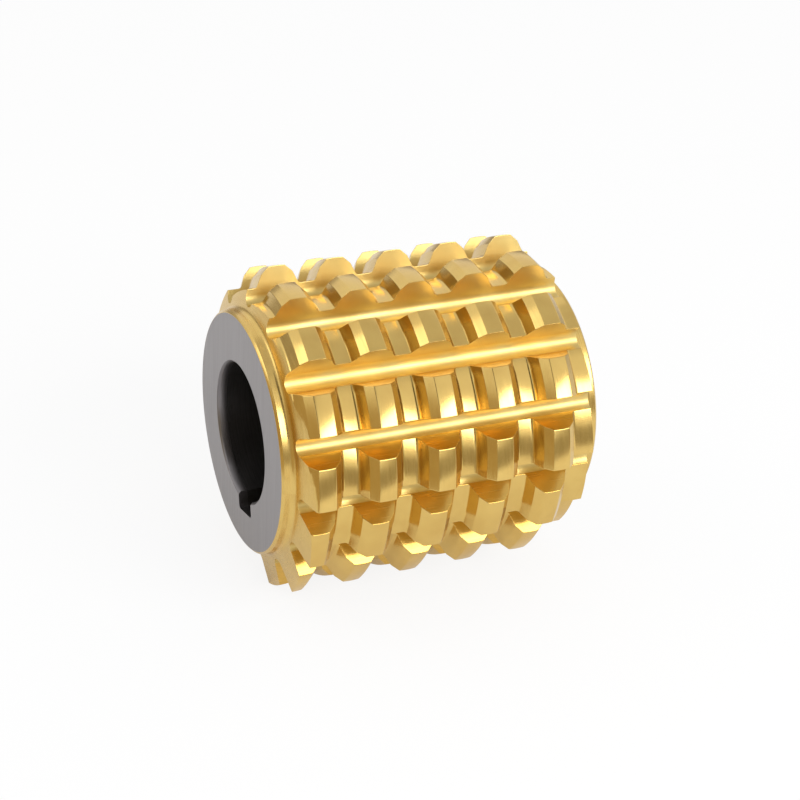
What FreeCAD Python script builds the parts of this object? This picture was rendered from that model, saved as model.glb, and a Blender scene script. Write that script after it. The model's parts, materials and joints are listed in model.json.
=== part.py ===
import FreeCAD, Part
import math
import os

from FreeCAD import Vector

# Gear hob: a worm-like cutter of tool steel in one piece, lying on two rows of its tooth tips.
# X is the axis of the bore, +Z is up, and the origin is on the surface below the middle of the hob.
# Angles are taken about the bore axis from the front (-Y) towards the top (+Z).

# Driving sizes, in millimetres and degrees

tip_diameter = 63.0
overall_length = 64.0

# Hubs: the plain collars at both ends, with ground faces
hub_diameter = 47.0
hub_length = 2.5
hub_flare = 1.1
hub_chamfer = 0.45

# Bore and its keyway
bore_diameter = 27.0
bore_chamfer = 0.5
keyway_width = 7.0
keyway_depth = 2.8
keyway_corner = 0.8

# Teeth: one left-hand thread of rack form, parted into rows
tooth_spacing = 11.7  # along the axis, which is also the lead of the thread
tooth_depth = 3.9
tip_width = 3.3
tip_bevel = 1.45
flank_angle = 24.9
tooth_place = -5.27  # middle of a tooth in the keyway's row, from the middle of the hob

# Ends of the thread: a tooth whose middle lies beyond is left off, and the walls lean in towards the tips
left_thread_end = 29.1
right_thread_end = 25.2
left_wall_lean = 11.5
right_wall_lean = 5.5

# Gashes: the straight grooves between the rows
gash_count = 14
gash_angle = 33.0
gash_corner = 1.8
gash_clearance = 0.46  # from the lowest root of the thread down to the gash floor

# Relief: how much lower the thread is after one division of the gashes
relief_drop = 2.47

# Spare length of shapes that are cut back to size, and how finely the relieved lands are made
lead_in_angle = 2.0
run_out_angle = 3.7
core_clearance = 0.05
cut_allowance = 4.0
section_count = 3

# Values worked out from the driving sizes

tip_radius = tip_diameter / 2
root_radius = tip_radius - tooth_depth
bore_radius = bore_diameter / 2
hub_radius = hub_diameter / 2
end_x = overall_length / 2
wall_x = end_x - hub_length
division = 360 / gash_count
gash_floor_radius = root_radius - relief_drop - gash_clearance

# The row in line with the keyway and the row behind it are the lowest two, so the hob rests on both.
keyway_angle = division / 2 - 90
axis_height = tip_radius * math.cos(math.radians(division / 2))


def on_hob(x, radius, angle):
    """Point at a place along the axis, a radius and an angle about the axis."""
    turn = math.radians(angle)
    return Vector(x, -radius * math.cos(turn), radius * math.sin(turn))


def turned_to(shape, angle):
    """Shape that was made facing the front, turned to an angle about the axis."""
    copy = shape.copy()
    copy.rotate(Vector(0, 0, 0), Vector(-1, 0, 0), angle)
    return copy


def turned_round(outline):
    """Solid of an outline turned about the axis, as pairs of a place along the axis and a radius."""
    points = [Vector(x, 0, radius) for x, radius in outline]
    section = Part.Face(Part.makePolygon(points + [points[0]]))
    return section.revolve(Vector(0, 0, 0), Vector(1, 0, 0), 360)


def rod(radius, half_length):
    """Round bar about the axis, centred on the middle of the hob."""
    return Part.makeCylinder(radius, 2 * half_length, Vector(-half_length, 0, 0), Vector(1, 0, 0))


def tooth_outline(centre):
    """One tooth of the rack, as pairs of a place along the axis and a radius, from root to root."""
    bevel_radius = tip_radius - tip_bevel
    tip_x = tip_width / 2
    bevel_x = tip_x + tip_bevel
    root_x = bevel_x + (bevel_radius - root_radius) * math.tan(math.radians(flank_angle))
    half = [(tip_x, tip_radius), (bevel_x, bevel_radius), (root_x, root_radius)]
    left = [(centre - x, radius) for x, radius in reversed(half)]
    right = [(centre + x, radius) for x, radius in half]
    return left + right


def rack_outline(place):
    """The rack of a row with a tooth at this place, in its rake plane and longer than the hob."""
    first = math.ceil((-left_thread_end - place) / tooth_spacing)
    last = math.floor((right_thread_end - place) / tooth_spacing)
    outline = [(-end_x - cut_allowance, root_radius)]
    for tooth in range(first, last + 1):
        outline += tooth_outline(place + tooth * tooth_spacing)
    outline.append((end_x + cut_allowance, root_radius))
    return outline


def row_section(place, angle):
    """The rack at an angle behind the rake plane: lower by the relief, and further along the thread."""
    drop = relief_drop * angle / division
    advance = tooth_spacing * angle / 360
    seat_radius = gash_floor_radius - cut_allowance
    outline = [(x + advance, radius - drop) for x, radius in rack_outline(place)]
    outline.append((outline[-1][0], seat_radius))
    outline.append((outline[0][0], seat_radius))
    points = [on_hob(x, radius, angle) for x, radius in outline]
    return Part.makePolygon(points + [points[0]])


def tooth_row(place):
    """One row of relieved teeth, from just before its rake plane to beyond its heels."""
    first = -lead_in_angle
    last = division - run_out_angle
    step = (last - first) / (section_count - 1)
    sections = [row_section(place, first + step * number) for number in range(section_count)]
    return Part.makeLoft(sections, True, False)


def gash():
    """Groove with a radial rake plane, a round floor and a sloping wall at the heels of the next row."""
    slope = math.radians(gash_angle)
    centre = gash_floor_radius + gash_corner
    reach = gash_corner / math.tan(slope / 2)
    apex = centre - reach
    rim = tip_radius + cut_allowance

    def at(below, out):
        # out is measured along the rake plane, and below squarely from it
        return Vector(-end_x, -out, -below)

    rake_foot = at(0, centre)
    floor_middle = at(gash_corner * (1 - math.sin(slope / 2)), centre - gash_corner * math.cos(slope / 2))
    wall_foot = at(reach * math.sin(slope), apex + reach * math.cos(slope))
    rake_top = at(0, rim)
    wall_top = at((rim - apex) * math.tan(slope), rim)

    edges = [
        Part.LineSegment(rake_top, rake_foot).toShape(),
        Part.Arc(rake_foot, floor_middle, wall_foot).toShape(),
        Part.LineSegment(wall_foot, wall_top).toShape(),
        Part.LineSegment(wall_top, rake_top).toShape(),
    ]
    return Part.Face(Part.Wire(edges)).extrude(Vector(2 * end_x, 0, 0))


def between_walls():
    """All the space about the axis between the two end walls, which lean in above the hubs."""
    foot_radius = hub_radius + hub_flare
    rim_radius = tip_radius + cut_allowance
    left_lean = (rim_radius - foot_radius) * math.tan(math.radians(left_wall_lean))
    right_lean = (rim_radius - foot_radius) * math.tan(math.radians(right_wall_lean))
    return turned_round([
        (-wall_x, 0),
        (-wall_x, foot_radius),
        (-wall_x + left_lean, rim_radius),
        (wall_x - right_lean, rim_radius),
        (wall_x, foot_radius),
        (wall_x, 0),
    ])


def toothed_section():
    """The relieved rows on their core, between the two end walls, parted by the gashes."""
    rows = range(-(gash_count // 2), gash_count - gash_count // 2)
    core_radius = root_radius - relief_drop * (1 - run_out_angle / division) - core_clearance

    teeth = []
    grooves = []
    for row in rows:
        angle = keyway_angle + row * division
        place = tooth_place + row * tooth_spacing / gash_count
        teeth.append(turned_to(tooth_row(place), angle))
        grooves.append(turned_to(gash(), angle))

    body = rod(core_radius, end_x).multiFuse(teeth)
    body = body.cut(Part.makeCompound(grooves))
    return body.common(between_walls())


def hub(side):
    """Collar from its ground face to the end wall, with a chamfered rim and a flare at the wall."""
    outline = [
        (0, 0),
        (0, hub_radius - hub_chamfer),
        (hub_chamfer, hub_radius),
        (hub_length - hub_flare, hub_radius),
        (hub_length, hub_radius + hub_flare),
        (hub_length, 0),
    ]
    return turned_round([(side * (end_x - behind_face), radius) for behind_face, radius in outline])


def bore():
    """Straight bore through the hob, chamfered at both faces."""
    tool = rod(bore_radius, end_x + cut_allowance)
    for side in (-1, 1):
        mouth = Part.makeCone(
            bore_radius + bore_chamfer,
            bore_radius,
            bore_chamfer,
            Vector(side * end_x, 0, 0),
            Vector(-side, 0, 0),
        )
        tool = tool.fuse(mouth)
    return tool


def keyway():
    """Slot along the whole bore, with rounded bottom corners."""
    bottom = bore_radius + keyway_depth
    slot = Part.makeBox(
        2 * (end_x + cut_allowance),
        bottom,
        keyway_width,
        Vector(-end_x - cut_allowance, -bottom, -keyway_width / 2),
    )
    corners = [
        edge
        for edge in slot.Edges
        if edge.BoundBox.YMax < -bore_radius and edge.BoundBox.XLength > overall_length
    ]
    return turned_to(slot.makeFillet(keyway_corner, corners), keyway_angle)


def gear_hob():
    body = toothed_section()
    body = body.multiFuse([hub(-1), hub(1)])
    body = body.cut(Part.makeCompound([bore(), keyway()]))
    body = body.removeSplitter()
    body.translate(Vector(0, 0, axis_height))
    return body.Solids[0]


os.makedirs("parts", exist_ok=True)
gear_hob().exportStep("parts/gear_hob.step")
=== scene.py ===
import json
import math

import bmesh
import bpy
from mathutils import Matrix, Vector

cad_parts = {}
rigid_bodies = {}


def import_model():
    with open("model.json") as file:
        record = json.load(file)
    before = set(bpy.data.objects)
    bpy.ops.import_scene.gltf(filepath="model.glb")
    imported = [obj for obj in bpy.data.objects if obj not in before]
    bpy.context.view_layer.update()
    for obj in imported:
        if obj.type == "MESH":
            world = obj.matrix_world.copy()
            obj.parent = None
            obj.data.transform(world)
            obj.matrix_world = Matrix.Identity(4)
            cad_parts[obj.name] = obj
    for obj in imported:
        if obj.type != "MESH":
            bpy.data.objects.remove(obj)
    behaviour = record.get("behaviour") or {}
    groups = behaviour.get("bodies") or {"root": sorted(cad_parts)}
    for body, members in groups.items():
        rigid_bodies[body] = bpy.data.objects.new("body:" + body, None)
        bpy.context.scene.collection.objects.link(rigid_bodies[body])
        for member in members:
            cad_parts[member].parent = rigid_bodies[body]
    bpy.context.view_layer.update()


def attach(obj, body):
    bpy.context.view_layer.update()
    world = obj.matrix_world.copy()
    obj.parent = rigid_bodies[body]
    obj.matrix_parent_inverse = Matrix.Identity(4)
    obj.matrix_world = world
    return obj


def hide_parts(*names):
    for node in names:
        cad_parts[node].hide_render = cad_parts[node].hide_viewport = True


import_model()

mm = 0.001

# Sizes of the hob, in millimetres and degrees, as the CAD part has them.
# Angles go round the bore axis, from the front (-Y) towards the top (+Z).
hobSizes = {
    "tipDiameter": 63.0,
    "length": 64.0,
    "hubDiameter": 47.0,
    "hubLength": 2.5,
    "hubFlare": 1.1,
    "hubChamfer": 0.45,
    "boreDiameter": 27.0,
    "boreChamfer": 0.5,
    "keywayWidth": 7.0,
    "keywayDepth": 2.8,
    "keywayCorner": 0.8,
    "toothSpacing": 11.7,
    "toothDepth": 3.9,
    "tipWidth": 3.3,
    "tipBevel": 1.45,
    "flankAngle": 24.9,
    "toothPlace": -5.27,
    "leftThreadEnd": 29.1,
    "rightThreadEnd": 25.2,
    "leftWallLean": 11.5,
    "rightWallLean": 5.5,
    "gashCount": 14,
    "gashAngle": 33.0,
    "gashCorner": 1.8,
    "gashClearance": 0.46,
    "reliefDrop": 2.47,
}

# How far the ground edges are softened, how deep the painted light at the bore's mouth reaches, and
# how finely the curves are stepped. Edges that turn more than sharpAngle are shaded sharp, and the
# thread is made spareLength too long at both ends and then cut back.
hobFinish = {
    "tipCrown": 0.09,
    "tipRound": 0.3,
    "facetRound": 0.4,
    "rootRound": 0.8,
    "edgeBreak": 0.07,
    "rimBreak": 0.1,
    "litMouthDepth": 1.3,
    "crownSteps": 4,
    "landSteps": 6,
    "floorSteps": 4,
    "roundSteps": 3,
    "rimSteps": 2,
    "keywaySteps": 6,
    "ringSteps": 196,
    "sharpAngle": 45.0,
    "mergeDistance": 0.002,
    "spareLength": 1.0,
}

tipRadius = hobSizes["tipDiameter"] / 2
rootRadius = tipRadius - hobSizes["toothDepth"]
division = 360 / hobSizes["gashCount"]
floorRadius = rootRadius - hobSizes["reliefDrop"] - hobSizes["gashClearance"]
hubRadius = hobSizes["hubDiameter"] / 2
boreRadius = hobSizes["boreDiameter"] / 2
endX = hobSizes["length"] / 2
wallX = endX - hobSizes["hubLength"]
keywayAngle = division / 2 - 90
axisHeight = tipRadius * math.cos(math.radians(division / 2))
toothStep = hobSizes["toothSpacing"] / hobSizes["gashCount"]


# Materials


def toLinear(code):
    # an sRGB hex colour as the linear values that a shader takes
    values = [int(code[place:place + 2], 16) / 255 for place in (1, 3, 5)]
    linear = [v / 12.92 if v <= 0.04045 else ((v + 0.055) / 1.055) ** 2.4 for v in values]
    return (*linear, 1.0)


def addNode(tree, kind, settings=None, inputs=None):
    # one node with its settings, and each input as a plain value or a link from another node
    node = tree.nodes.new(kind)
    for name, value in (settings or {}).items():
        setattr(node, name, value)
    for name, value in (inputs or {}).items():
        if isinstance(value, bpy.types.NodeSocket):
            tree.links.new(value, node.inputs[name])
        else:
            node.inputs[name].default_value = value
    return node


def newMaterial(name):
    material = bpy.data.materials.new(name)
    material.use_nodes = True
    material.node_tree.nodes.clear()
    return material, material.node_tree


def axisCoordinates(tree):
    # place along the bore axis, distance from it and angle round it, all from Object coordinates
    place = addNode(tree, "ShaderNodeTexCoord")
    centred = addNode(tree, "ShaderNodeMapping", {"vector_type": "POINT"},
                      {"Vector": place.outputs["Object"], "Location": (0, 0, -axisHeight * mm)})
    parts = addNode(tree, "ShaderNodeSeparateXYZ", None, {"Vector": centred.outputs["Vector"]})
    across = addNode(tree, "ShaderNodeCombineXYZ", None,
                     {"Y": parts.outputs["Y"], "Z": parts.outputs["Z"]})
    radius = addNode(tree, "ShaderNodeVectorMath", {"operation": "LENGTH"},
                     {0: across.outputs["Vector"]})
    angle = addNode(tree, "ShaderNodeMath", {"operation": "ARCTAN2"},
                    {0: parts.outputs["Z"], 1: parts.outputs["Y"]})
    return parts.outputs["X"], radius.outputs["Value"], angle.outputs["Value"]


# How much finer noise there is inside the grains, and the range that the values seldom leave
noiseLook = {
    "detail": 2.0,
    "low": 0.3,
    "high": 0.7,
}


def stretchedNoise(tree, axes, sizes):
    # noise whose grains have the given sizes along three coordinates
    scaled = []
    for value, size in zip(axes, sizes):
        node = addNode(tree, "ShaderNodeMath", {"operation": "DIVIDE"}, {0: value, 1: size})
        scaled.append(node.outputs["Value"])
    vector = addNode(tree, "ShaderNodeCombineXYZ", None, dict(zip("XYZ", scaled)))
    noise = addNode(tree, "ShaderNodeTexNoise", None,
                    {"Vector": vector.outputs["Vector"], "Scale": 1.0,
                     "Detail": noiseLook["detail"]})
    return noise.outputs["Fac"]


def ranged(tree, noise, low, high):
    # noise spread over the range from low to high
    node = addNode(tree, "ShaderNodeMapRange", None,
                   {"Value": noise, "From Min": noiseLook["low"], "From Max": noiseLook["high"],
                    "To Min": low, "To Max": high})
    return node.outputs["Result"]


# The two colours of a surface run into each other like clouds, and spread is how far its marks
# draw a highlight out across them. Grinding marks really are about 0.02 mm apart; they are drawn
# coarser, so that they show at all.
coatLook = {
    "landColours": ("#ddbc6f", "#d5b267"),
    "gashColours": ("#d7be79", "#cfb36d"),
    # the heel walls' gold is deeper and more orange than the lands': painted shade and painted gold
    # inter-reflection from deep in the gashes
    "heelShadeColours": ("#d8b05e", "#d0a755"),
    "landRoughness": (0.16, 0.24),
    "gashRoughness": (0.36, 0.44),
    "heelRoughness": (0.2, 0.28),
    "hubRoughness": (0.22, 0.3),
    "landSpread": 0.5,
    "gashSpread": 0.5,
    "heelSpread": 0.0,
    "markWidth": 0.16 * mm,
    "gashMarkWidth": 0.32 * mm,
    "markLength": 9.0 * mm,
    "markDepth": 0.0012 * mm,
    "cloudSize": 5.0 * mm,
}


def coatMaterial(name, colours, roughness, spread, marksAlongAxis):
    # Titanium nitride coat on ground tool steel: a hard, thin gold metal that keeps the grinding
    # marks under it, so the eye gets mirror-like gold with fine soft streaks.
    material, tree = newMaterial(name)
    x, radius, angle = axisCoordinates(tree)
    arc = addNode(tree, "ShaderNodeMath", {"operation": "MULTIPLY"}, {0: angle, 1: tipRadius * mm})
    along = arc.outputs["Value"]
    width, length = coatLook["markWidth"], coatLook["markLength"]
    if marksAlongAxis:
        marks = stretchedNoise(tree, (x, radius, along), (length, width, coatLook["gashMarkWidth"]))
        quarterTurns = 1
    else:
        marks = stretchedNoise(tree, (x, along, radius), (width, length, length))
        quarterTurns = 0
    cloud = coatLook["cloudSize"]
    clouds = stretchedNoise(tree, (x, along, radius), (cloud, cloud, cloud))
    colour = addNode(tree, "ShaderNodeMix", {"data_type": "RGBA"},
                     {"Factor": ranged(tree, clouds, 0.0, 1.0),
                      "A": toLinear(colours[0]), "B": toLinear(colours[1])})
    bump = addNode(tree, "ShaderNodeBump", None,
                   {"Strength": 1.0, "Distance": coatLook["markDepth"], "Height": marks})
    axis = addNode(tree, "ShaderNodeCombineXYZ", None, {"X": 1.0})
    shader = addNode(tree, "ShaderNodeBsdfPrincipled", None,
                     {"Base Color": colour.outputs["Result"], "Metallic": 1.0,
                      "Roughness": ranged(tree, marks, *roughness),
                      "Anisotropic": spread, "Tangent": axis.outputs["Vector"],
                      "Anisotropic Rotation": quarterTurns / 4,
                      "Normal": bump.outputs["Normal"]})
    addNode(tree, "ShaderNodeOutputMaterial", None, {"Surface": shader.outputs["BSDF"]})
    return material


# The bare steel of the ground faces, with long and very shallow marks
faceLook = {
    "colour": "#9a9697",
    "deepColour": "#969293",
    "roughness": (0.34, 0.38),
    "markSizes": (0.6 * mm, 0.6 * mm, 16.0 * mm),
    "markDepth": 0.0005 * mm,
}

# The bore's steel, painted darker than the faces as shade, and its first stretch by the mouth,
# painted lighter than the rest where light falls in
boreShadeLook = {
    "colour": "#6c6968",
    "deepColour": "#5c5958",
    "roughness": (0.35, 0.5),
    "markSizes": (0.3 * mm, 6.0 * mm, 6.0 * mm),
    "markDepth": 0.001 * mm,
}

boreMouthLightLook = {
    "colour": "#848081",
    "deepColour": "#7b7778",
    "roughness": (0.34, 0.42),
    "markSizes": (0.3 * mm, 6.0 * mm, 6.0 * mm),
    "markDepth": 0.001 * mm,
}


def steelMaterial(name, look):
    # High-speed steel, ground bare after coating: a neutral grey metal with the soft streaks of the
    # grinding wheel. In the bore the same steel is painted darker as shade, and less dark over its
    # first stretch by the mouth, where light falls in.
    material, tree = newMaterial(name)
    place = addNode(tree, "ShaderNodeTexCoord")
    parts = addNode(tree, "ShaderNodeSeparateXYZ", None, {"Vector": place.outputs["Object"]})
    marks = stretchedNoise(tree, [parts.outputs[axis] for axis in "XYZ"], look["markSizes"])
    colour = addNode(tree, "ShaderNodeMix", {"data_type": "RGBA"},
                     {"Factor": ranged(tree, marks, 0.0, 1.0),
                      "A": toLinear(look["colour"]), "B": toLinear(look["deepColour"])})
    bump = addNode(tree, "ShaderNodeBump", None,
                   {"Strength": 1.0, "Distance": look["markDepth"], "Height": marks})
    shader = addNode(tree, "ShaderNodeBsdfPrincipled", None,
                     {"Base Color": colour.outputs["Result"], "Metallic": 1.0,
                      "Roughness": ranged(tree, marks, *look["roughness"]),
                      "Normal": bump.outputs["Normal"]})
    addNode(tree, "ShaderNodeOutputMaterial", None, {"Surface": shader.outputs["BSDF"]})
    return material


landCoat = coatMaterial("nitrideCoatLands", coatLook["landColours"], coatLook["landRoughness"],
                        coatLook["landSpread"], False)
gashCoat = coatMaterial("nitrideCoatGashes", coatLook["gashColours"], coatLook["gashRoughness"],
                        coatLook["gashSpread"], True)
# the heel walls' coat, with its gold painted deeper as shade
heelCoat = coatMaterial("nitrideCoatHeels", coatLook["heelShadeColours"], coatLook["heelRoughness"],
                        coatLook["heelSpread"], True)
hubCoat = coatMaterial("nitrideCoatHubs", coatLook["landColours"], coatLook["hubRoughness"],
                       coatLook["landSpread"], False)
faceSteel = steelMaterial("groundToolSteel", faceLook)
litBoreMouthSteel = steelMaterial("boreMouthPaintedLightSteel", boreMouthLightLook)
shadedBoreSteel = steelMaterial("borePaintedShadeSteel", boreShadeLook)
print("materials made")


# Outlines


def cornerArc(before, corner, after, radius, steps):
    # the rounded corner of two straight runs in a plane; it takes less than half of either run
    longestShare = 0.45
    inward = (before - corner).normalized()
    outward = (after - corner).normalized()
    half = inward.angle(outward) / 2
    shorter = min((before - corner).length, (after - corner).length)
    reach = min(radius / math.tan(half), longestShare * shorter)
    centre = corner + (inward + outward).normalized() * reach / math.cos(half)
    start = corner + inward * reach - centre
    finish = corner + outward * reach - centre
    sweep = start.angle_signed(finish)
    points = []
    for step in range(steps + 1):
        turn = -sweep * step / steps
        points.append(centre + Matrix.Rotation(turn, 2) @ start)
    return points


def toothProfile():
    # one pitch of the rack in the rake plane, from one gap's middle to the next, as points of a
    # place along the axis and a radius
    tipX = hobSizes["tipWidth"] / 2
    facetX = tipX + hobSizes["tipBevel"]
    facetRadius = tipRadius - hobSizes["tipBevel"]
    rootX = facetX + (facetRadius - rootRadius) * math.tan(math.radians(hobSizes["flankAngle"]))
    crown = hobFinish["tipCrown"]  # how much lower the tip is at its edges than in its middle
    right = []
    for step in range(hobFinish["crownSteps"]):
        share = step / hobFinish["crownSteps"]
        right.append(Vector((tipX * share, tipRadius - crown * share ** 2)))
    corners = [
        right[-1],
        Vector((tipX, tipRadius - crown)),
        Vector((facetX, facetRadius)),
        Vector((rootX, rootRadius)),
        Vector((hobSizes["toothSpacing"] / 2, rootRadius)),
    ]
    rounds = (hobFinish["tipRound"], hobFinish["facetRound"], hobFinish["rootRound"])
    for before, here, after, size in zip(corners, corners[1:], corners[2:], rounds):
        right += cornerArc(before, here, after, size, hobFinish["roundSteps"])
    right.append(corners[-1])
    left = [Vector((-point.x, point.y)) for point in reversed(right[1:])]
    return left + right


def softened(path, place, size):
    # a sharp corner of a path of points becomes a narrow round of three points, with one more
    # point twice as far out on each side, so that the shading of the flat runs stays flat
    longestShare = 0.4
    bulge = 0.4
    before, corner, after = path[place - 1:place + 2]
    inward = min(size / (before - corner).length, longestShare)
    outward = min(size / (after - corner).length, longestShare)
    start = corner.lerp(before, inward)
    finish = corner.lerp(after, outward)
    middle = start.lerp(finish, 0.5).lerp(corner, bulge)
    holdBefore = corner.lerp(before, 2 * inward)
    holdAfter = corner.lerp(after, 2 * outward)
    return path[:place] + [holdBefore, start, middle, finish, holdAfter] + path[place + 1:]


def polar(radius, angle):
    turn = math.radians(angle)
    return Vector((radius * math.cos(turn), radius * math.sin(turn)))


def gashApex():
    # where the heel wall's plane would meet the rake plane, below the rounded floor
    half = math.radians(hobSizes["gashAngle"] / 2)
    return floorRadius + hobSizes["gashCorner"] * (1 - 1 / math.tan(half))


def heelAngle(radius):
    # the angle behind the rake plane at which a land of this radius runs out on the next gash's
    # wall, found by halving the range
    halvings = 50
    slope = math.tan(math.radians(hobSizes["gashAngle"]))
    apex = gashApex()
    low, high = 0.0, division
    for _ in range(halvings):
        angle = (low + high) / 2
        point = polar(radius - hobSizes["reliefDrop"] * angle / division, division - angle)
        if point.y > (point.x - apex) * slope:
            low = angle
        else:
            high = angle
    return low


def floorArc(first, last, turned):
    # points of the gash floor in the plane across the axis, between two angles about the floor's
    # own centre
    corner = hobSizes["gashCorner"]
    points = []
    for step in range(hobFinish["floorSteps"] + 1):
        angle = math.radians(first + (last - first) * step / hobFinish["floorSteps"])
        below = corner + corner * math.cos(angle)
        out = floorRadius + corner + corner * math.sin(angle)
        points.append(Matrix.Rotation(math.radians(turned), 2) @ Vector((out, -below)))
    return points


def toothPath(along, radius):
    # one line of the toothed surface, from the middle of a gash floor over the land to the
    # middle of the next floor
    heel = heelAngle(radius)
    steps = hobFinish["landSteps"]
    lowest = -90 - hobSizes["gashAngle"] / 2
    path = floorArc(lowest, -180, 0)
    rake = len(path)
    for step in range(steps + 1):
        angle = heel * step / steps
        path.append(polar(radius - hobSizes["reliefDrop"] * angle / division, angle))
    last = len(path) - 1
    path += floorArc(-hobSizes["gashAngle"], lowest, division)
    path = softened(path, last, hobFinish["edgeBreak"])
    path = softened(path, rake, hobFinish["edgeBreak"])
    points = []
    for point in path:
        angle = math.degrees(math.atan2(point.y, point.x))
        points.append(Vector((along + hobSizes["toothSpacing"] * angle / 360, -point.x, point.y)))
    return points


# The toothed body


def toothMesh(name, height):
    # one tooth with its share of the gashes, round the axis at x = 0; height is its share of the
    # full height, so that 0 leaves only the root
    paths = []
    for point in toothProfile():
        paths.append(toothPath(point.x, rootRadius + (point.y - rootRadius) * height))
    bm = bmesh.new()
    inGash = bm.faces.layers.bool.new("inGash")
    onHeel = bm.faces.layers.bool.new("onHeel")
    grid = [[bm.verts.new(point * mm) for point in path] for path in paths]
    rakeEdge = hobFinish["floorSteps"] + 3  # the middle point of the rake edge's round
    heelEdge = rakeEdge + hobFinish["landSteps"] + 4  # the middle point of the heel edge's round
    wallFoot = heelEdge + 3  # the first point of the next gash floor
    for left, right in zip(grid, grid[1:]):
        for place in range(len(left) - 1):
            face = bm.faces.new((left[place], left[place + 1], right[place + 1], right[place]))
            face[inGash] = place < rakeEdge or place >= heelEdge
            face[onHeel] = heelEdge <= place < wallFoot
            face.smooth = True
    mesh = bpy.data.meshes.new(name)
    bm.to_mesh(mesh)
    bm.free()
    tile = bpy.data.objects.new(name, mesh)
    bpy.context.scene.collection.objects.link(tile)
    return tile


def threadTree():
    # instances of one tooth along the thread, each one step along and one division round,
    # and of the bare root before the first tooth and after the last one
    tree = bpy.data.node_groups.new("toothThread", "GeometryNodeTree")
    sockets = [
        ("Geometry", "NodeSocketGeometry"),
        ("Tooth", "NodeSocketObject"),
        ("Bare root", "NodeSocketObject"),
        ("First tooth", "NodeSocketInt"),
        ("Last tooth", "NodeSocketInt"),
        ("Count", "NodeSocketInt"),
        ("Start", "NodeSocketVector"),
        ("Step", "NodeSocketVector"),
        ("First turn", "NodeSocketFloat"),
        ("Turn each", "NodeSocketFloat"),
        ("Merge distance", "NodeSocketFloat"),
        ("Land coat", "NodeSocketMaterial"),
        ("Gash coat", "NodeSocketMaterial"),
        ("Heel coat", "NodeSocketMaterial"),
    ]
    for name, kind in sockets:
        tree.interface.new_socket(name, in_out="INPUT", socket_type=kind)
    tree.interface.new_socket("Geometry", in_out="OUTPUT", socket_type="NodeSocketGeometry")
    given = addNode(tree, "NodeGroupInput").outputs
    line = addNode(tree, "GeometryNodeMeshLine", {"mode": "OFFSET"},
                   {"Count": given["Count"], "Start Location": given["Start"],
                    "Offset": given["Step"]})
    index = addNode(tree, "GeometryNodeInputIndex")
    begun = addNode(tree, "FunctionNodeCompare", {"data_type": "INT", "operation": "GREATER_EQUAL"},
                    {2: index.outputs["Index"], 3: given["First tooth"]})
    ended = addNode(tree, "FunctionNodeCompare", {"data_type": "INT", "operation": "GREATER_THAN"},
                    {2: index.outputs["Index"], 3: given["Last tooth"]})
    toothed = addNode(tree, "FunctionNodeBooleanMath", {"operation": "NIMPLY"},
                      {0: begun.outputs["Result"], 1: ended.outputs["Result"]})
    bare = addNode(tree, "FunctionNodeBooleanMath", {"operation": "NOT"},
                   {0: toothed.outputs["Boolean"]})
    turn = addNode(tree, "ShaderNodeMath", {"operation": "MULTIPLY_ADD"},
                   {0: index.outputs["Index"], 1: given["Turn each"], 2: given["First turn"]})
    rotation = addNode(tree, "ShaderNodeCombineXYZ", None, {"X": turn.outputs["Value"]})
    placed = addNode(tree, "GeometryNodeJoinGeometry")
    for name, chosen in (("Tooth", toothed), ("Bare root", bare)):
        tile = addNode(tree, "GeometryNodeObjectInfo", None, {"Object": given[name]})
        tiles = addNode(tree, "GeometryNodeInstanceOnPoints", None,
                        {"Points": line.outputs["Mesh"], "Instance": tile.outputs["Geometry"],
                         "Rotation": rotation.outputs["Vector"],
                         "Selection": chosen.outputs["Boolean"]})
        tree.links.new(tiles.outputs["Instances"], placed.inputs["Geometry"])
    real = addNode(tree, "GeometryNodeRealizeInstances", None,
                   {"Geometry": placed.outputs["Geometry"]})
    merged = addNode(tree, "GeometryNodeMergeByDistance", None,
                     {"Geometry": real.outputs["Geometry"], "Distance": given["Merge distance"]})
    coated = addNode(tree, "GeometryNodeSetMaterial", None,
                     {"Geometry": merged.outputs["Geometry"], "Material": given["Land coat"]})
    for mark, coat in (("inGash", "Gash coat"), ("onHeel", "Heel coat")):
        marked = addNode(tree, "GeometryNodeInputNamedAttribute", {"data_type": "BOOLEAN"},
                         {"Name": mark})
        coated = addNode(tree, "GeometryNodeSetMaterial", None,
                         {"Geometry": coated.outputs["Geometry"], "Material": given[coat],
                          "Selection": marked.outputs["Attribute"]})
    addNode(tree, "NodeGroupOutput", None, {"Geometry": coated.outputs["Geometry"]})
    return tree


def plainMesh(source, name):
    # the evaluated object as a mesh of its own
    graph = bpy.context.evaluated_depsgraph_get()
    mesh = bpy.data.meshes.new_from_object(source.evaluated_get(graph), depsgraph=graph)
    mesh.name = name
    return mesh


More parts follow.
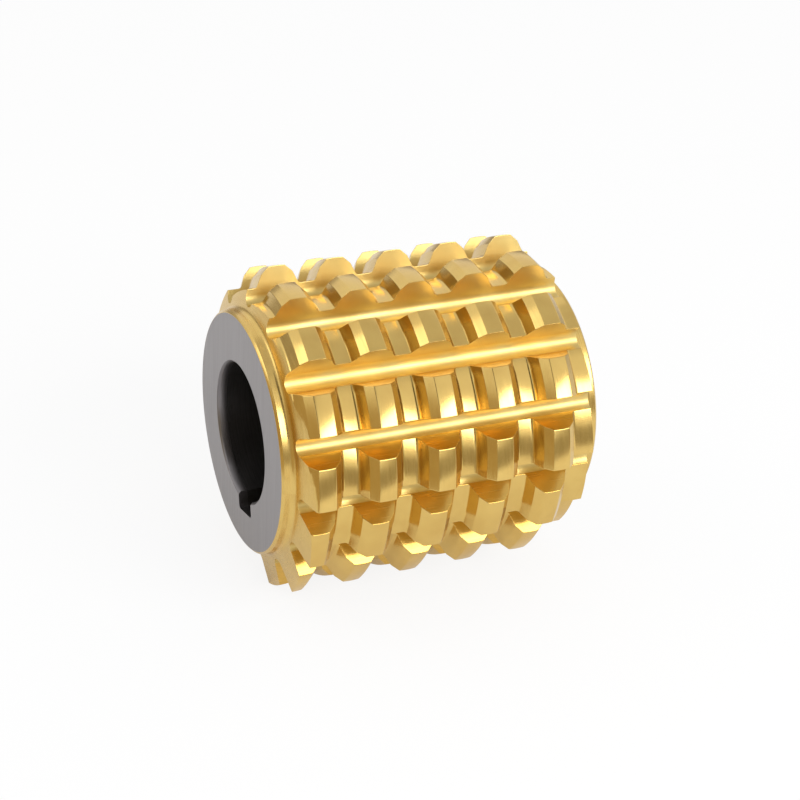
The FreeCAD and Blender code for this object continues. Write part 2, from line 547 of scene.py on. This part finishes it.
def threadedBody():
    # the whole thread, longer than the hob at both ends, as one mesh
    tooth, bareRoot = toothMesh("toothTile", 1), toothMesh("bareRootTile", 0)
    place = hobSizes["toothPlace"]
    spare = hobSizes["toothSpacing"] / 2 + hobFinish["spareLength"]
    first = math.floor((-wallX - spare - place) / toothStep)
    last = math.ceil((wallX + spare - place) / toothStep)
    carrier = bpy.data.objects.new("threadCarrier", bpy.data.meshes.new("threadCarrier"))
    bpy.context.scene.collection.objects.link(carrier)
    thread = carrier.modifiers.new("Thread", "NODES")
    thread.node_group = threadTree()
    values = {
        "Tooth": tooth,
        "Bare root": bareRoot,
        "First tooth": math.ceil((-hobSizes["leftThreadEnd"] - place) / toothStep) - first,
        "Last tooth": math.floor((hobSizes["rightThreadEnd"] - place) / toothStep) - first,
        "Count": last - first + 1,
        "Start": ((place + first * toothStep) * mm, 0, 0),
        "Step": (toothStep * mm, 0, 0),
        "First turn": -math.radians(keywayAngle + first * division),
        "Turn each": -math.radians(division),
        "Merge distance": hobFinish["mergeDistance"] * mm,
        "Land coat": landCoat,
        "Gash coat": gashCoat,
        "Heel coat": heelCoat,
    }
    for item in thread.node_group.interface.items_tree:
        if item.in_out == "INPUT" and item.name in values:
            thread[item.identifier] = values[item.name]
    mesh = plainMesh(carrier, "gearHobBody")
    for helper in (carrier, tooth, bareRoot):
        bpy.data.objects.remove(helper)
    return mesh


body = threadedBody()
print("thread of teeth:", len(body.polygons), "faces")


# The hubs, bore and keyway


def outlineVerts(bm, x, outline):
    # an outline's points, at a place along the axis
    return [bm.verts.new(Vector((x, -point.x, point.y)) * mm) for point in outline]


def ring(bm, x, radius):
    steps = hobFinish["ringSteps"]
    outline = [polar(radius, 360 * step / steps) for step in range(steps)]
    return outlineVerts(bm, x, outline)


def joined(bm, first, second, material):
    # a closed band of faces between two loops of the same number of points
    for place, vert in enumerate(first):
        following = (place + 1) % len(first)
        face = bm.faces.new((vert, first[following], second[following], second[place]))
        face.material_index = material
        face.smooth = True


def loopEdges(bm, loop):
    # the edges of a closed loop, made where they aren't there yet
    edges = []
    for place, vert in enumerate(loop):
        pair = (vert, loop[(place + 1) % len(loop)])
        edges.append(bm.edges.get(pair) or bm.edges.new(pair))
    return edges


def filled(bm, edges, material):
    # a flat face between the loops of edges
    made = bmesh.ops.triangle_fill(bm, use_beauty=True, edges=edges)
    for item in made["geom"]:
        if isinstance(item, bmesh.types.BMFace):
            item.material_index = material
            item.smooth = True


def hubProfile():
    # from the end wall out to the ground face, as (distance in from the face, radius)
    flare, chamfer = hobSizes["hubFlare"], hobSizes["hubChamfer"]
    corner = Vector((hobSizes["hubLength"] - flare, hubRadius))
    points = []
    for step in range(hobFinish["floorSteps"] + 1):
        angle = math.radians(90 * step / hobFinish["floorSteps"])
        points.append(corner + Vector((math.cos(angle), 1 - math.sin(angle))) * flare)
    rim = [
        points[-1],
        Vector((chamfer, hubRadius)),
        Vector((0, hubRadius - chamfer)),
        Vector((0, 0)),
    ]
    for before, here, after in zip(rim, rim[1:], rim[2:]):
        points += cornerArc(before, here, after, hobFinish["rimBreak"], hobFinish["rimSteps"])
    return points


def boreOutline(radius):
    # the bore with its keyway, in the plane across the axis, as seen along +X
    half, bottom = hobSizes["keywayWidth"] / 2, boreRadius + hobSizes["keywayDepth"]
    opening = math.degrees(math.asin(half / radius))
    steps = hobFinish["ringSteps"] // 2
    points = []
    for step in range(steps + 1):
        points.append(polar(radius, opening + (360 - 2 * opening) * step / steps))
    slot = [points[-1], Vector((bottom, -half)), Vector((bottom, half)), points[0]]
    for before, here, after in zip(slot, slot[1:], slot[2:]):
        points += cornerArc(before, here, after, hobSizes["keywayCorner"], hobFinish["keywaySteps"])
    return [Matrix.Rotation(math.radians(keywayAngle), 2) @ point for point in points]


def leaned(bm, side, share):
    # shears the hob's end along the axis: share 1 makes its leaning wall flat, and -1 undoes it
    lean = math.tan(math.radians(hobSizes["leftWallLean" if side < 0 else "rightWallLean"]))
    foot = (hubRadius + hobSizes["hubFlare"]) * mm
    for vert in bm.verts:
        if vert.co.x * side > 0:
            rise = max(0.0, math.hypot(vert.co.y, vert.co.z) - foot)
            vert.co.x += side * share * lean * rise


def cutEnd(bm, side):
    # the toothed body ends in a flat wall; returns the wall's outer edges
    plane = Vector((side * wallX * mm, 0, 0))
    onPlane = 1e-8  # in metres: points nearer than this are on the plane
    cut = bmesh.ops.bisect_plane(
        bm, geom=bm.verts[:] + bm.edges[:] + bm.faces[:], dist=onPlane,
        plane_co=plane, plane_no=(side, 0, 0), clear_outer=True)
    return [item for item in cut["geom_cut"] if isinstance(item, bmesh.types.BMEdge)]


def finishedBody(mesh):
    # the thread is cut to the end walls, and gets its hubs, faces, bore and keyway
    bm = bmesh.new()
    bm.from_mesh(mesh)
    coat, steel, litMouth, shadedBore = (len(mesh.materials) + place for place in range(4))
    for material in (hubCoat, faceSteel, litBoreMouthSteel, shadedBoreSteel):
        mesh.materials.append(material)
    chamfer = hobSizes["boreChamfer"]
    mouthOutline, boreLine = boreOutline(boreRadius + chamfer), boreOutline(boreRadius)
    litMouthEnds = []
    for side in (-1, 1):
        leaned(bm, side, 1)
        wallEdges = cutEnd(bm, side)
        rings = [ring(bm, side * (endX - point.x), point.y) for point in hubProfile()]
        filled(bm, wallEdges + loopEdges(bm, rings[0]), coat)
        leaned(bm, side, -1)
        for first, second in zip(rings, rings[1:]):
            joined(bm, first, second, coat)
        mouth = outlineVerts(bm, side * endX, mouthOutline)
        throat = outlineVerts(bm, side * (endX - chamfer), boreLine)
        filled(bm, loopEdges(bm, rings[-1]) + loopEdges(bm, mouth), steel)
        # the bore's chamfer and first stretch take the steel painted lighter for the light at the
        # mouth, and the rest takes the steel painted darker as shade
        joined(bm, mouth, throat, litMouth)
        litMouthEnd = outlineVerts(bm, side * (endX - chamfer - hobFinish["litMouthDepth"]), boreLine)
        joined(bm, throat, litMouthEnd, litMouth)
        litMouthEnds.append(litMouthEnd)
    joined(bm, *litMouthEnds, shadedBore)
    bmesh.ops.recalc_face_normals(bm, faces=bm.faces[:])
    for edge in bm.edges:
        edge.smooth = edge.calc_face_angle(0) < math.radians(hobFinish["sharpAngle"])
    bm.transform(Matrix.Translation((0, 0, axisHeight * mm)))
    loose = [edge for edge in bm.edges if not edge.is_manifold]
    print("open edges:", len(loose), "volume:", round(bm.calc_volume() / mm ** 3, 1), "mm3")
    bm.to_mesh(mesh)
    bm.free()
    return mesh


rough = bpy.data.objects.new("roughHob", finishedBody(body))
bpy.context.scene.collection.objects.link(rough)
weights = rough.modifiers.new("Weights", "WEIGHTED_NORMAL")
weights.keep_sharp = True
hob = bpy.data.objects.new("gearHobBody", plainMesh(rough, "gearHobBody"))
bpy.context.scene.collection.objects.link(hob)
bpy.data.objects.remove(rough)
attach(hob, "root")
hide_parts("gear_hob")
print("hob body:", len(hob.data.polygons), "faces")


# Floor, lights and camera

# In metres. Glow is the share of plain white in what is seen of the floor: by the camera, and by
# the metal.
studioSizes = {
    "floorWidth": 6.0,
    "floorColour": "#f4f4f4",
    "floorGlow": 0.86,
    "floorGlowInMetal": 0.22,
    "worldStrength": 0.75,
    "screenRadius": 0.5,
    "screenHeight": 0.135,
    "screenSides": 96,
    "screenColour": "#aea89c",
}

# Plain cards round the table that only the metal sees: a pale grey ceiling, a light brown board on
# the left, and two dark brown ones, behind the camera and above it
studioCards = {
    "ceilingCard": {
        "place": (0.0, 0.14, 0.85),
        "facing": (0.0, 0.0, -1.0),
        "size": (1.5, 0.72),
        "colour": "#dedede",
    },
    "leftCard": {
        "place": (-0.26, -0.06, 0.13),
        "facing": (0.7, 0.1, 0.7),
        "size": (0.4, 0.42),
        "colour": "#c2b08c",
    },
    "cameraCard": {
        "place": (-0.17, -0.376, 0.266),
        "facing": (0.36, 0.79, -0.5),
        "size": (0.24, 0.24),
        "colour": "#4a4033",
    },
    "highCard": {
        "place": (-0.135, -0.216, 0.4),
        "facing": (0.3, 0.48, -0.82),
        "size": (0.22, 0.28),
        "colour": "#4a4033",
    },
}

# Soft boxes that aim at the hob; azimuth goes from the front (-Y) towards the right (+X)
softBoxes = {
    "keyBox": {
        "azimuth": 22.0,
        "elevation": 32.2,
        "distance": 0.9,
        "width": 0.75,
        "height": 0.36,
        "power": 5.2,
    },
    "sideBox": {
        "azimuth": -110.0,
        "elevation": 35.0,
        "distance": 0.9,
        "width": 0.4,
        "height": 0.3,
        "power": 0.5,
    },
}

white = (1, 1, 1, 1)


def seenShare(tree, cameraShare, metalShare):
    # one share for what the camera sees, one for what metal and glass see, and none for other light
    path = addNode(tree, "ShaderNodeLightPath")
    camera = addNode(tree, "ShaderNodeMath", {"operation": "MULTIPLY"},
                     {0: path.outputs["Is Camera Ray"], 1: cameraShare})
    bounced = addNode(tree, "ShaderNodeMath", {"operation": "MAXIMUM"},
                      {0: path.outputs["Is Glossy Ray"], 1: path.outputs["Is Transmission Ray"]})
    metal = addNode(tree, "ShaderNodeMath", {"operation": "MULTIPLY"},
                    {0: bounced.outputs["Value"], 1: metalShare})
    either = addNode(tree, "ShaderNodeMath", {"operation": "MAXIMUM"},
                     {0: camera.outputs["Value"], 1: metal.outputs["Value"]})
    return either.outputs["Value"]


def studioWorld():
    # a white room: plain white to the eye and in the metal, a little weaker as light
    world = bpy.data.worlds.new("paleStudio")
    world.use_nodes = True
    tree = world.node_tree
    tree.nodes.clear()
    lit = addNode(tree, "ShaderNodeBackground", None,
                  {"Color": white, "Strength": studioSizes["worldStrength"]})
    seen = addNode(tree, "ShaderNodeBackground", None, {"Color": white, "Strength": 1.0})
    share = seenShare(tree, 1.0, 1.0)
    mix = addNode(tree, "ShaderNodeMixShader", None,
                  {0: share, 1: lit.outputs[0], 2: seen.outputs[0]})
    addNode(tree, "ShaderNodeOutputWorld", None, {"Surface": mix.outputs[0]})
    bpy.context.scene.world = world


def flatSheet(name, width, height):
    # a rectangle about the origin, facing up
    right, back = width / 2, height / 2
    mesh = bpy.data.meshes.new(name)
    corners = [(-right, -back, 0), (right, -back, 0), (right, back, 0), (-right, back, 0)]
    mesh.from_pydata(corners, [], [(0, 1, 2, 3)])
    return mesh


def studioFloor():
    # matt white paper, so that the eye gets an even pale floor with the hob's soft shadow
    mesh = flatSheet("studioFloor", studioSizes["floorWidth"], studioSizes["floorWidth"])
    floor = bpy.data.objects.new("studioFloor", mesh)
    bpy.context.scene.collection.objects.link(floor)
    material, tree = newMaterial("palePaper")
    paper = addNode(tree, "ShaderNodeBsdfDiffuse", None,
                    {"Color": toLinear(studioSizes["floorColour"])})
    glow = addNode(tree, "ShaderNodeEmission", None, {"Color": white, "Strength": 1.0})
    share = seenShare(tree, studioSizes["floorGlow"], studioSizes["floorGlowInMetal"])
    mix = addNode(tree, "ShaderNodeMixShader", None,
                  {0: share, 1: paper.outputs[0], 2: glow.outputs[0]})
    addNode(tree, "ShaderNodeOutputMaterial", None, {"Surface": mix.outputs[0]})
    mesh.materials.append(material)


def onlyInMetal(piece, name, colour):
    # a stage piece of a plain tone that only reflections show
    material, tree = newMaterial(name)
    glow = addNode(tree, "ShaderNodeEmission", None, {"Color": toLinear(colour), "Strength": 1.0})
    addNode(tree, "ShaderNodeOutputMaterial", None, {"Surface": glow.outputs[0]})
    piece.data.materials.append(material)
    bpy.context.scene.collection.objects.link(piece)
    piece.visible_camera = False
    piece.visible_diffuse = False
    piece.visible_shadow = False


def studioCard(name, card):
    mesh = flatSheet(name, *card["size"])
    turned = Vector(card["facing"]).to_track_quat("Z", "Y").to_matrix().to_4x4()
    mesh.transform(Matrix.Translation(card["place"]) @ turned)
    onlyInMetal(bpy.data.objects.new(name, mesh), name, card["colour"])


def studioScreen():
    # a low grey screen round the table, as a dark line under the soft boxes
    radius, height = studioSizes["screenRadius"], studioSizes["screenHeight"]
    bm = bmesh.new()
    bmesh.ops.create_cone(bm, cap_ends=False, segments=studioSizes["screenSides"],
                          radius1=radius, radius2=radius, depth=height)
    bm.transform(Matrix.Translation((0, 0, height / 2)))
    mesh = bpy.data.meshes.new("studioScreen")
    bm.to_mesh(mesh)
    bm.free()
    onlyInMetal(bpy.data.objects.new("studioScreen", mesh), "greyFelt", studioSizes["screenColour"])


def studioBox(name, box):
    # a rectangular soft light that the camera doesn't see
    turn, lift = math.radians(box["azimuth"]), math.radians(box["elevation"])
    aim = Vector((0, 0, axisHeight * mm))
    level = math.cos(lift)
    away = Vector((math.sin(turn) * level, -math.cos(turn) * level, math.sin(lift)))
    lamp = bpy.data.lights.new(name, "AREA")
    lamp.shape = "RECTANGLE"
    lamp.size, lamp.size_y = box["width"], box["height"]
    lamp.energy = box["power"]
    holder = bpy.data.objects.new(name, lamp)
    holder.location = aim + away * box["distance"]
    holder.rotation_euler = (-away).to_track_quat("-Z", "Y").to_euler()
    holder.visible_camera = False
    bpy.context.scene.collection.objects.link(holder)


# Place, aim and nearest drawn distance in metres, roll in degrees, lens and sensor in millimetres
photoCamera = {
    "place": (-0.145026, -0.322424, 0.230627),
    "aim": (0.000773, -0.000223, 0.032332),
    "roll": 3.2667,
    "lens": 93.54,
    "sensor": 36,
    "nearest": 0.01,
}


def studioCamera():
    lens = bpy.data.cameras.new("photoCamera")
    lens.lens = photoCamera["lens"]
    lens.sensor_width = photoCamera["sensor"]
    lens.clip_start = photoCamera["nearest"]
    camera = bpy.data.objects.new("photoCamera", lens)
    place, aim = Vector(photoCamera["place"]), Vector(photoCamera["aim"])
    turn = (aim - place).to_track_quat("-Z", "Y").to_matrix()
    roll = Matrix.Rotation(math.radians(photoCamera["roll"]), 3, "Z")
    camera.matrix_world = Matrix.Translation(place) @ (turn @ roll).to_4x4()
    bpy.context.scene.collection.objects.link(camera)
    bpy.context.scene.camera = camera


studioWorld()
studioFloor()
studioScreen()
for name, card in studioCards.items():
    studioCard(name, card)
for name, box in softBoxes.items():
    studioBox(name, box)
studioCamera()
bpy.context.scene.view_settings.view_transform = "Standard"
print("studio set")
